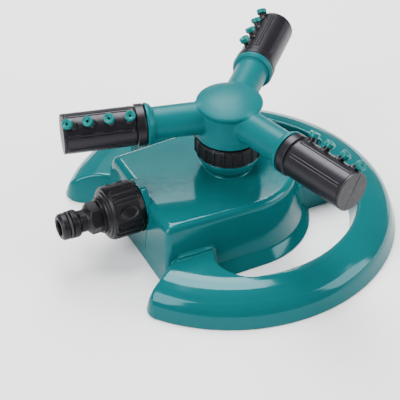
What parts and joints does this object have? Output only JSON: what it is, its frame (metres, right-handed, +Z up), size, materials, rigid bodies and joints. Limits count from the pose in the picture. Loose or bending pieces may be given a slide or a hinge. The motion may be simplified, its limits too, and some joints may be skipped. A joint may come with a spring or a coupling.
{
  "type": "rotating lawn sprinkler",
  "caption": "Rotating lawn sprinkler: open horseshoe base, spinning hub, radial tubes with rows of aimable jets, and a quick-connect hose plug under a union nut.",
  "frame": {"origin": "on the floor under the middle of the object's length and width; the rotor's vertical axis stands 3.45 mm behind it", "axes": "+Z up along the rotor's axis, -Y towards the hose, +X to the right seen from the hose"},
  "size_m": [0.2206, 0.2276, 0.0982],
  "materials": {
    "teal_plastic": "glossy moulded ABS",
    "teal_cap": "satin moulded caps",
    "black_tube": "satin-gloss moulded black",
    "black_coupling": "satin moulded black",
    "grey_end_cap": "fine matt grey-black",
    "white_bearing": "smooth acetal",
    "black_rubber": "soft rubber",
    "stainless_steel": "plain stainless"
  },
  "bodies": {
    "base": {"base_shell": "teal_plastic", "inlet_elbow": "teal_plastic", "elbow_o_ring": "black_rubber", "elbow_screw_1": "stainless_steel", "elbow_screw_2": "stainless_steel", "lower_seal": "white_bearing"},
    "nut_carrier": {"upper_washer": "white_bearing"},
    "retaining_nut": {"retaining_nut": "black_coupling"},
    "rotor": {"rotor_hub": "teal_plastic", "rotor_spindle": "black_coupling", "spindle_o_ring": "black_rubber", "arm_o_ring_1": "black_rubber", "arm_o_ring_2": "black_rubber", "arm_o_ring_3": "black_rubber", "snap_ring_1": "stainless_steel", "snap_ring_2": "stainless_steel", "snap_ring_3": "stainless_steel"},
    "tube_1": {"nozzle_tube_1": "black_tube", "tube_end_cap_1": "grey_end_cap", "nozzle_cap_1_1": "teal_cap", "nozzle_cap_1_2": "teal_cap", "nozzle_cap_1_3": "teal_cap", "nozzle_cap_1_4": "teal_cap"},
    "tube_2": {"nozzle_tube_2": "black_tube", "tube_end_cap_2": "grey_end_cap", "nozzle_cap_2_1": "teal_cap", "nozzle_cap_2_2": "teal_cap", "nozzle_cap_2_3": "teal_cap", "nozzle_cap_2_4": "teal_cap"},
    "tube_3": {"nozzle_tube_3": "black_tube", "tube_end_cap_3": "grey_end_cap", "nozzle_cap_3_1": "teal_cap", "nozzle_cap_3_2": "teal_cap", "nozzle_cap_3_3": "teal_cap", "nozzle_cap_3_4": "teal_cap"},
    "hose_plug": {"hose_plug": "black_coupling", "plug_o_ring": "black_rubber", "hose_washer": "black_rubber"},
    "union_nut": {"union_nut": "black_coupling"}
  },
  "joints": [
    {"name": "rotor_lift", "type": "slide", "parent": "base", "child": "nut_carrier", "axis": [0, 0, 1], "range_m": [0, 0.0065]},
    {"name": "retaining_nut_turn", "type": "hinge", "parent": "nut_carrier", "child": "retaining_nut", "pos_m": [0, 0.00345, 0.06], "axis": [0, 0, 1], "range_deg": [0, 1171]},
    {"name": "rotor_spin", "type": "hinge", "parent": "nut_carrier", "child": "rotor", "pos_m": [0, 0.00345, 0.07], "axis": [0, 0, 1], "continuous": true},
    {"name": "tube_1_turn", "type": "hinge", "parent": "rotor", "child": "tube_1", "pos_m": [0, 0.00345, 0.0807], "axis": [-0.2487, -0.9686, 0], "continuous": true},
    {"name": "tube_2_turn", "type": "hinge", "parent": "rotor", "child": "tube_2", "pos_m": [0, 0.00345, 0.0807], "axis": [0.9632, 0.2689, 0], "continuous": true},
    {"name": "tube_3_turn", "type": "hinge", "parent": "rotor", "child": "tube_3", "pos_m": [0, 0.00345, 0.0807], "axis": [-0.7145, 0.6997, 0], "continuous": true},
    {"name": "plug_release", "type": "slide", "parent": "base", "child": "hose_plug", "axis": [0, -1, 0], "range_m": [0, 0.01452]},
    {"name": "union_nut_turn", "type": "hinge", "parent": "hose_plug", "child": "union_nut", "pos_m": [0, -0.07455, 0.0315], "axis": [0, -1, 0], "range_deg": [0, 2880]}
  ],
  "couplings": [
    {"joint": "retaining_nut_turn", "follows": "rotor_lift", "rad_per_m": 3141.6},
    {"joint": "plug_release", "follows": "union_nut_turn", "m_per_rad": 0.00028867}
  ]
}
